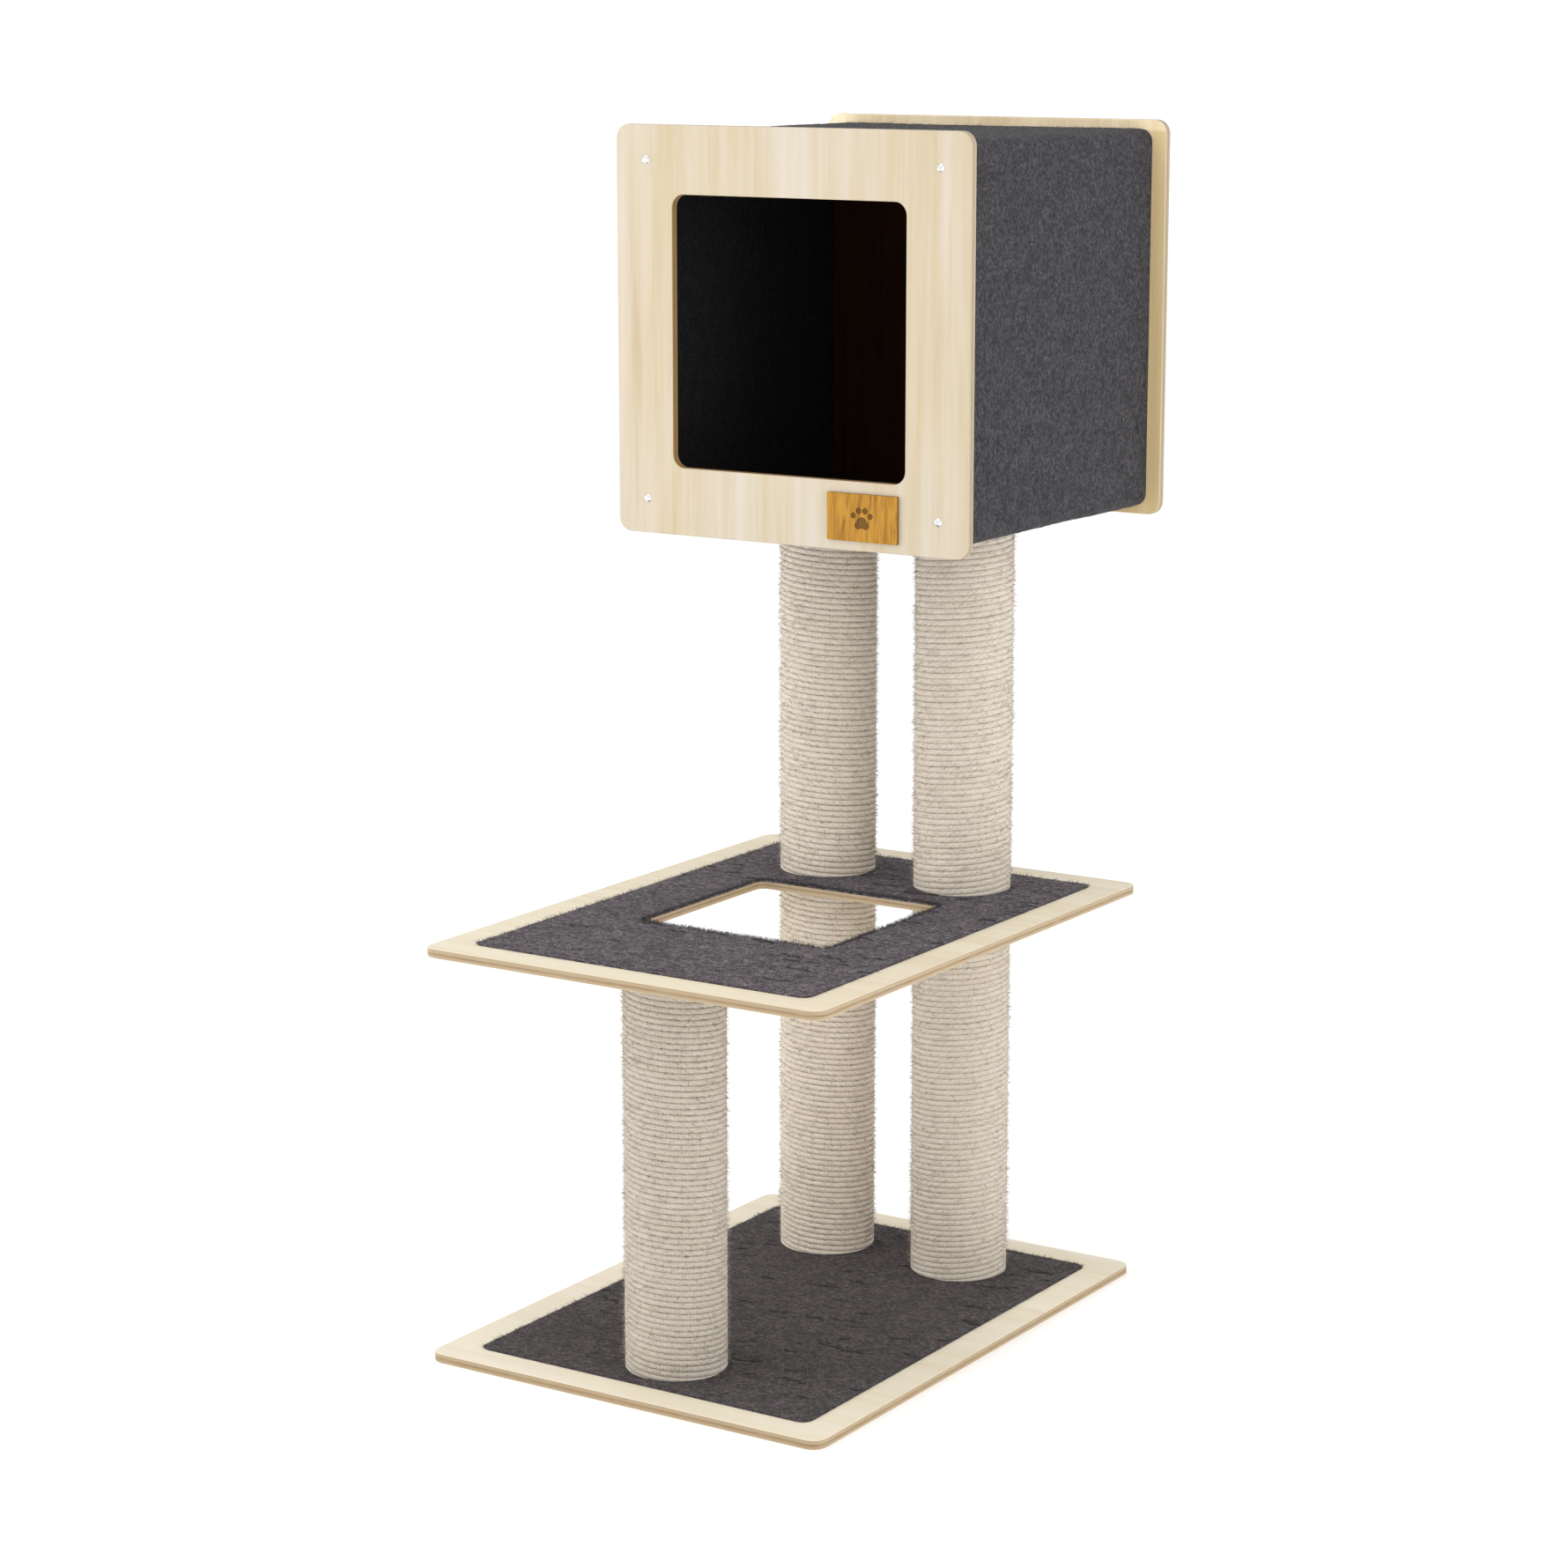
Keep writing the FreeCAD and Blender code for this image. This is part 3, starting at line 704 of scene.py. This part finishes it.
def sheet_mesh(name, a, b, face, back, cells, order, **attributes):
    """A closed sheet over a grid. cells says which cells are there.

    a and b are the grid's places, and face and back the places of the sheet's two sides. order
    says which of these three goes to X, Y and Z. attributes hold a value for each point of the
    face, and the back has 0.
    """
    rows, columns = a.shape
    number = np.arange(rows * columns).reshape(rows, columns)
    below = rows * columns
    i, j = np.nonzero(cells)
    corners = [number[i, j], number[i + 1, j], number[i + 1, j + 1], number[i, j + 1]]
    upper = np.stack(corners, axis=1)
    faces = [upper, upper[:, ::-1] + below]
    padded = np.pad(cells, 1)
    sides = [
        (-1, 0, (0, 1), (0, 0)),
        (1, 0, (1, 0), (1, 1)),
        (0, -1, (0, 0), (1, 0)),
        (0, 1, (1, 1), (0, 1)),
    ]
    for di, dj, start, end in sides:
        free = cells & ~padded[1 + di : rows + di, 1 + dj : columns + dj]
        i, j = np.nonzero(free)
        one = number[i + start[0], j + start[1]]
        two = number[i + end[0], j + end[1]]
        faces.append(np.stack([two, one, one + below, two + below], axis=1))
    faces = np.concatenate(faces)
    sheets = []
    for level in (face, back):
        grid = (a, b, level)
        sheets.append(np.stack([grid[k] for k in order], axis=2).reshape(-1, 3))
    used = np.unique(faces)
    renumber = np.full(2 * below, -1)
    renumber[used] = np.arange(len(used))
    made = make_object(name, np.concatenate(sheets)[used], [renumber[faces]])
    for key, values in attributes.items():
        add_attribute(made, key, np.concatenate([values.ravel(), 0 * values.ravel()])[used])
    return made


def rim_of(cells):
    """Which grid points lie on the outline of the cells that are there."""
    padded = np.pad(cells, 1)
    around = [padded[:-1, :-1], padded[1:, :-1], padded[:-1, 1:], padded[1:, 1:]]
    count = sum(a.astype(int) for a in around)
    return (count > 0) & (count < 4)


def creases(x, y, seed):
    """Short wavy creases along X, pressed into a carpet's pile: 1 in their middle, 0 elsewhere."""
    made = np.random.default_rng(seed)
    field = np.zeros(x.shape)
    for _ in range(CREASES):
        mid_x = x.min() + np.ptp(x) * made.uniform(0.0, 1.0) ** 0.6
        mid_y = made.uniform(y.min(), y.max())
        from_middle = x - mid_x
        wave = made.uniform(0.0008, 0.0024) * np.sin(from_middle / made.uniform(0.0020, 0.0040))
        off = y - mid_y - made.normal(0.0, 0.15) * from_middle - wave
        window = np.clip((made.uniform(0.006, 0.019) - np.abs(from_middle)) / 0.004, 0.0, 1.0)
        field = np.maximum(field, window * np.exp(-((off / CREASE_WIDTH) ** 2)))
    return field


def in_hole(x, y):
    half = HOLE_SIZE / 2
    return (np.abs(x - HOLE_MIDDLE[0]) < half) & (np.abs(y - HOLE_MIDDLE[1]) < half)


def carpet(node, seed, hole):
    """A carpet laid in its board's recess, with dents, creases and a soft rim."""
    low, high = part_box(node)
    middle, half = (low + high) / 2, (high - low) / 2
    x_places, y_places = [low.x, high.x], [low.y, high.y]
    if hole:
        x_places[1:1] = [HOLE_MIDDLE[0] - HOLE_SIZE / 2, HOLE_MIDDLE[0] + HOLE_SIZE / 2]
        y_places[1:1] = [HOLE_MIDDLE[1] - HOLE_SIZE / 2, HOLE_MIDDLE[1] + HOLE_SIZE / 2]
    xs, ys = steps_between(x_places, CARPET_GRID), steps_between(y_places, CARPET_GRID)
    x, y = np.meshgrid(xs, ys, indexing="ij")
    mid_x, mid_y = (xs[1:] + xs[:-1]) / 2, (ys[1:] + ys[:-1]) / 2
    cells = np.ones((len(mid_x), len(mid_y)), bool)
    if hole:
        cells = ~in_hole(mid_x[:, None], mid_y[None, :])
    # This field sets both the dents' depth and their painted shade.
    dent = np.clip(soft_noise(x.shape, (3.2, 0.62), seed) - 1.55, 0, 1.2)
    dent = dent * np.clip(0.5 + soft_noise(x.shape, (26, 22), seed + 1), 0, 1.4)
    dent = np.maximum(dent, creases(x, y, seed + 4))
    relief = CARPET_RELIEF * soft_noise(x.shape, (0.6, 0.6), seed + 2)
    relief = relief + CARPET_RELIEF * soft_noise(x.shape, (3.0, 2.2), seed + 3) - DENT_DEPTH * dent
    top = high.z - CARPET_SINK + np.minimum(relief, HIGHEST_RELIEF)
    top = np.where(rim_of(cells), high.z - CARPET_RIM_SINK, top)
    x, y = round_corners(x - middle.x, y - middle.y, half.x, half.y, CARPET_CORNER, 1.0)
    x, y = x + middle.x, y + middle.y
    if hole:
        x, y = x - HOLE_MIDDLE[0], y - HOLE_MIDDLE[1]
        x, y = round_corners(x, y, HOLE_SIZE / 2, HOLE_SIZE / 2, HOLE_CORNER, 2.0)
        x, y = x + HOLE_MIDDLE[0], y + HOLE_MIDDLE[1]
    bottom = np.full(x.shape, low.z)
    return sheet_mesh(node + "_sheet", x, y, top, bottom, cells, (0, 1, 2), dent=dent)


def on_outline(half_x, half_y, corner, count):
    """Random points on a rounded rectangle about the origin, with their outward directions."""
    x = random.uniform(-1, 1, count) * half_x
    y = random.uniform(-1, 1, count) * half_y
    pick = random.uniform(0, half_x + half_y, count) < half_x
    y = np.where(pick, np.sign(y) * half_y, y)
    x = np.where(pick, x, np.sign(x) * half_x)
    out = np.where(pick[:, None], np.stack([0 * x, np.sign(y)], 1), np.stack([np.sign(x), 0 * y], 1))
    x, y = round_corners(x, y, half_x, half_y, corner, 1.0)
    return x, y, out


def carpet_pile(node, hole):
    """Loose fibres lying over a carpet and standing out along its cut edges.

    The hole's edge has a longer and darker fringe, which comes last in every array.
    """
    low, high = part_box(node)
    middle, half = (low + high) / 2, (high - low) / 2
    x = random.uniform(low.x + 0.003, high.x - 0.003, CARPET_FIBRES)
    y = random.uniform(low.y + 0.003, high.y - 0.003, CARPET_FIBRES)
    if hole:
        outside = ~in_hole(x, y)
        x, y = x[outside], y[outside]
    roots = np.stack([x, y, np.full(len(x), high.z - 0.0007)], axis=1)
    aims = random.normal(0, 1, roots.shape)
    aims[:, 2] = random.uniform(0.15, 0.75, len(x))
    edges = [(middle.x, middle.y, half.x, half.y, CARPET_CORNER, 1, CARPET_FRINGE)]
    if hole:
        size = HOLE_SIZE / 2
        edges.append((*HOLE_MIDDLE, size, size, HOLE_CORNER, -1, HOLE_FRINGE))
    for mid_x, mid_y, half_x, half_y, corner, side, number in edges:
        x, y, out = on_outline(half_x, half_y, corner, number)
        more = np.stack([x + mid_x, y + mid_y, np.full(number, high.z - 0.0010)], axis=1)
        aim = random.normal(0, 0.5, (number, 3))
        aim[:, :2] += side * out * random.uniform(0.1, 0.7, (number, 1))
        aim[:, 2] = random.uniform(0.1, 1.0, number)
        more[:, :2] -= side * out * 0.0008
        roots, aims = np.concatenate([roots, more]), np.concatenate([aims, aim])
    number = len(roots)
    droop = random.normal(0, 0.7, (number, 3)) * [1, 1, 0.3] - [0, 0, 0.35]
    lengths = random.uniform(*CARPET_FIBRE_LENGTHS, number)
    shades = random.beta(1.2, 2.2, number)
    if hole:
        lengths[-HOLE_FRINGE:] *= HOLE_FRINGE_LONGER
        shades[-HOLE_FRINGE:] *= HOLE_FRINGE_DARKER
    return fibres(node + "_pile", roots, aims, droop, lengths, CARPET_FIBRE_THICKNESS, shades)


def cover_profile(half_x, half_z, corner, step):
    """Points round a rounded rectangle in XZ, with outward directions."""
    points, out = [], []
    for turn in range(4):
        start = turn * math.pi / 2
        sign_x, sign_z = ((1, 1), (-1, 1), (-1, -1), (1, -1))[turn]
        centre = np.array([sign_x * (half_x - corner), sign_z * (half_z - corner)])
        angles = np.linspace(start, start + math.pi / 2, COVER_CORNER_STEPS)
        arc = np.stack([np.cos(angles), np.sin(angles)], axis=1)
        points.append(centre + corner * arc)
        out.append(arc)
        next_x, next_z = ((-1, 1), (-1, -1), (1, -1), (1, 1))[turn]
        following = np.array([next_x * (half_x - corner), next_z * (half_z - corner)])
        end = following + corner * arc[-1]
        length = np.linalg.norm(end - points[-1][-1])
        count = int(length / step)
        share = np.linspace(0, 1, count + 1)[1:-1, None]
        points.append(points[-1][-1] * (1 - share) + end * share)
        out.append(np.repeat(arc[-1:], count - 1, axis=0))
    return np.concatenate(points), np.concatenate(out)


def felt_cover():
    """The felt round the cabin: a closed tube with a slightly uneven outside."""
    low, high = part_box("cabin_felt_cover")
    middle, half = (low + high) / 2, (high - low) / 2
    profile, out = cover_profile(half.x, half.z, COVER_CORNER, COVER_GRID)
    around, rows = len(profile), round((high.y - low.y) / COVER_GRID)
    ys = np.linspace(low.y, high.y, rows + 1)
    relief = FELT_FINE_RELIEF * soft_noise((rows + 1, around), (0.7, 0.7), 91)
    relief = relief + FELT_BROAD_RELIEF * soft_noise((rows + 1, around), (9, 9), 92)
    relief = np.clip(relief, -0.0008, HIGHEST_RELIEF)
    relief[0] = relief[-1] = -FELT_RIM_SINK
    outer = profile[None] + out[None] * relief[:, :, None]
    inner = np.repeat((profile - out * COVER_THICKNESS)[None], 2, axis=0)
    rings = np.concatenate([outer, inner])
    levels = np.concatenate([ys, [high.y, low.y]])
    y = np.repeat(levels[:, None], around, axis=1)
    points = np.stack([rings[..., 0] + middle.x, y, rings[..., 1] + middle.z], axis=2)
    total = len(levels)
    i, j = np.meshgrid(np.arange(total), np.arange(around), indexing="ij")
    i, j = i.ravel(), j.ravel()
    next_i, next_j = (i + 1) % total, (j + 1) % around
    corners = [(i, j), (i, next_j), (next_i, next_j), (next_i, j)]
    faces = np.stack([a * around + b for a, b in corners], axis=1)
    return make_object("cabin_felt_wrap", points.reshape(-1, 3), [faces])


def cover_fibres():
    """Curls of loose fibre all over the felt cover."""
    count = COVER_FIBRES
    low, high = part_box("cabin_felt_cover")
    middle, half = (low + high) / 2, (high - low) / 2
    profile, out = cover_profile(half.x, half.z, COVER_CORNER, 0.0005)
    pick = random.integers(0, len(profile), count)
    flat = profile[pick]
    away = np.stack([out[pick, 0], np.zeros(count), out[pick, 1]], axis=1)
    y = random.uniform(low.y + 0.001, high.y - 0.001, count)
    roots = np.stack([flat[:, 0] + middle.x, y, flat[:, 1] + middle.z], axis=1) - away * 0.0005
    aims = random.normal(0, 1, (count, 3))
    aims = aims - away * np.sum(aims * away, axis=1, keepdims=True)
    aims = aims + away * random.uniform(0.1, 0.8, (count, 1))
    droop = random.normal(0, 0.8, (count, 3)) - away * 0.4
    lengths = random.uniform(*COVER_FIBRE_LENGTHS, count)
    shades = random.beta(1.2, 2.4, count)
    return fibres(
        "cabin_felt_fibres", roots, aims, droop, lengths, COVER_FIBRE_THICKNESS, shades
    )


def lining(side, axis, sign, seed):
    """One inside wall's felt, notched round the front blocks. sign is the way it faces on its axis."""
    node = "cabin_" + side + "_lining"
    low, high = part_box(node)
    cavity_low, cavity_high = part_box("cabin_corner_blocks")
    other = 2 - axis
    stops = [cavity_low[other] + BLOCK_SIZE, cavity_high[other] - BLOCK_SIZE]
    a = steps_between([low[other], *stops, high[other]], LINING_GRID)
    b = steps_between([low.y, low.y + BLOCK_LENGTH, high.y], LINING_GRID)
    along, y = np.meshgrid(a, b, indexing="ij")
    mid_a, mid_b = (a[1:] + a[:-1]) / 2, (b[1:] + b[:-1]) / 2
    at_block = ((mid_a < stops[0]) | (mid_a > stops[1]))[:, None]
    cells = ~(at_block & (mid_b < low.y + BLOCK_LENGTH)[None, :])
    face, back = (high[axis], low[axis]) if sign > 0 else (low[axis], high[axis])
    relief = FELT_FINE_RELIEF * soft_noise(y.shape, (0.7, 0.7), seed)
    relief = np.clip(relief, -0.0005, LINING_SINK)
    front = face - sign * LINING_SINK + sign * relief
    level = np.full(y.shape, back)
    order = (0, 1, 2) if axis == 2 else (2, 1, 0)
    return sheet_mesh(node + "_felt", along, y, front, level, cells, order)


# ---- camera, light and floor --------------------------------------------------------------------


def make_camera():
    data = bpy.data.cameras.new("camera")
    data.lens = CAMERA_LENS
    data.sensor_width = CAMERA_SENSOR
    camera = bpy.data.objects.new("camera", data)
    camera.location = CAMERA_PLACE
    camera.rotation_euler = (math.pi / 2 - CAMERA_TILT, 0.0, CAMERA_TURN)
    bpy.context.scene.collection.objects.link(camera)
    bpy.context.scene.camera = camera


def soft_box(name, place, aim, size, power):
    data = bpy.data.lights.new(name, "AREA")
    data.shape = "RECTANGLE"
    data.size, data.size_y = size
    data.energy = power
    light = bpy.data.objects.new(name, data)
    light.location = place
    light.rotation_euler = (Vector(aim) - Vector(place)).to_track_quat("-Z", "Y").to_euler()
    bpy.context.scene.collection.objects.link(light)


def make_studio():
    for name, (place, aim, size, power) in LIGHTS.items():
        soft_box(name, place, aim, size, power)
    world = bpy.data.worlds.new("studio")
    world.use_nodes = True
    sky = world.node_tree.nodes["Background"]
    sky.inputs["Color"].default_value = WHITE
    sky.inputs["Strength"].default_value = SKY_STRENGTH
    bpy.context.scene.world = world
    bpy.context.scene.view_settings.view_transform = "Standard"

    far = FLOOR_REACH
    corners = np.array([[-far, -far, 0], [far, -far, 0], [far, far, 0], [-far, far, 0]])
    floor = make_object("floor", corners, [np.array([[0, 1, 2, 3]])])
    paint = Nodes("floor_paint", 0.9)
    paint.colour(paint.mix(paint.noise(paint.place((1, 1, 1)), 3.0), *FLOOR_TONES))
    paint.shader.inputs["Emission Color"].default_value = WHITE
    paint.shader.inputs["Emission Strength"].default_value = FLOOR_GLOW
    floor.data.materials.append(paint.material)


# ---- the object ---------------------------------------------------------------------------------


def dress_cad_nodes():
    """Gives the CAD nodes that stay visible their materials: boards one each, the rest by slot."""
    plated = metal("zinc_plated_steel", (0.62, 0.62, 0.64), 0.38)
    bright = metal("nickel_plated_steel", (0.80, 0.80, 0.82), 0.22)
    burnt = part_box("front_badge")[0].y + ENGRAVING_DEPTH / 2
    by_slot = {
        "badge_wood": wood(
            "badge_wood", (0.440, 0.220, 0.028), (0.240, 0.100, 0.010), 3, 0.6, 2.2, 0.8, burnt, 0.15
        ),
        "shell_board": wood("shell_board_wood", (0.50, 0.37, 0.23), (0.40, 0.28, 0.16), 5),
        "block_wood": wood("block_wood", (0.62, 0.46, 0.28), (0.48, 0.33, 0.18), 7),
        # Near-black tones: painted shade for the board deep inside the cabin.
        "brown_board": wood("brown_board", (0.030, 0.010, 0.004), (0.018, 0.006, 0.002), 8, gloss=0.1),
        "plug_wood": wood("plug_wood", (0.58, 0.43, 0.27), (0.46, 0.32, 0.18), 9),
        "bolt_steel": plated,
        "insert_steel": plated,
        "staple_steel": plated,
        "screw_steel": bright,
        "tube_cardboard": cardboard("tube_cardboard"),
    }
    slots = {part["node"]: part["material_slot"] for part in frame["record"]["subparts"]}
    boards = [
        ("base_board", 2, BASE_VENEER, BOARD_PLIES, None),
        ("platform_board", 2, PLATFORM_VENEER, BOARD_PLIES, None),
        ("cabin_front_panel", 1, FRONT_VENEER, PANEL_PLIES, None),
        ("cabin_back_panel", 1, BACK_BOUNCE_VENEER, PANEL_PLIES, FRONT_VENEER),
    ]
    for seed, (node, axis, veneer, plies, reverse) in enumerate(boards):
        low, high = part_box(node)
        name = node + "_plywood"
        material = plywood(name, axis, low[axis], high[axis], seed + 1, veneer, plies, reverse)
        dress(frame["nodes"][node], material)
    for node, made in frame["nodes"].items():
        if slots[node] in by_slot:
            dress(made, by_slot[slots[node]])


def dress(made, material):
    made.data.materials.clear()
    made.data.materials.append(material)


def make_posts():
    stray = loose_fibre("rope_stray_fibre", *ROPE_STRAY)
    for post, (course, hand, painted_light_tone) in POST_WINDINGS.items():
        rope = rope_fibre(post + "_rope_fibre", painted_light_tone)
        give(wound_rope(post, course, hand), rope, "rope", post + "_rope")
        give(rope_fibres(post), stray, "rope")


def make_carpets():
    pile = loose_fibre("carpet_stray_fibre", *CARPET_STRAY)
    for node, board, seed, hole, tones in (
        ("base_carpet", "base_board", 11, False, SHADED_BASE_CARPET_TONES),
        ("platform_carpet", "platform_board", 21, True, PLATFORM_CARPET_TONES),
    ):
        cloth = felt(node + "_pile_felt", *tones, CARPET_CURL_SCALE, dented=True)
        sheet = give(carpet(node, seed, hole), cloth, "carpet", node)
        fluff = give(carpet_pile(node, hole), pile, "carpet")


def make_cabin():
    cloth = felt("cabin_felt", *COVER_TONES, COVER_CURL_SCALE)
    pile = loose_fibre("felt_stray_fibre", *COVER_STRAY)
    wrap = give(felt_cover(), cloth, "cabin_felt", "cabin_felt_cover")
    fluff = give(cover_fibres(), pile, "cabin_felt")
    # Its darker tones are painted shade inside the cabin.
    inside = felt("lining_felt", *SHADED_LINING_TONES, LINING_CURL_SCALE)
    for side, axis, sign, seed in (
        ("floor", 2, 1, 61), ("roof", 2, -1, 62), ("left", 0, 1, 63), ("right", 0, -1, 64),
    ):
        node = "cabin_" + side + "_lining"
        strip = give(lining(side, axis, sign, seed), inside, "lining_felt", node)


make_camera()
make_studio()
dress_cad_nodes()
make_posts()
make_carpets()
make_cabin()
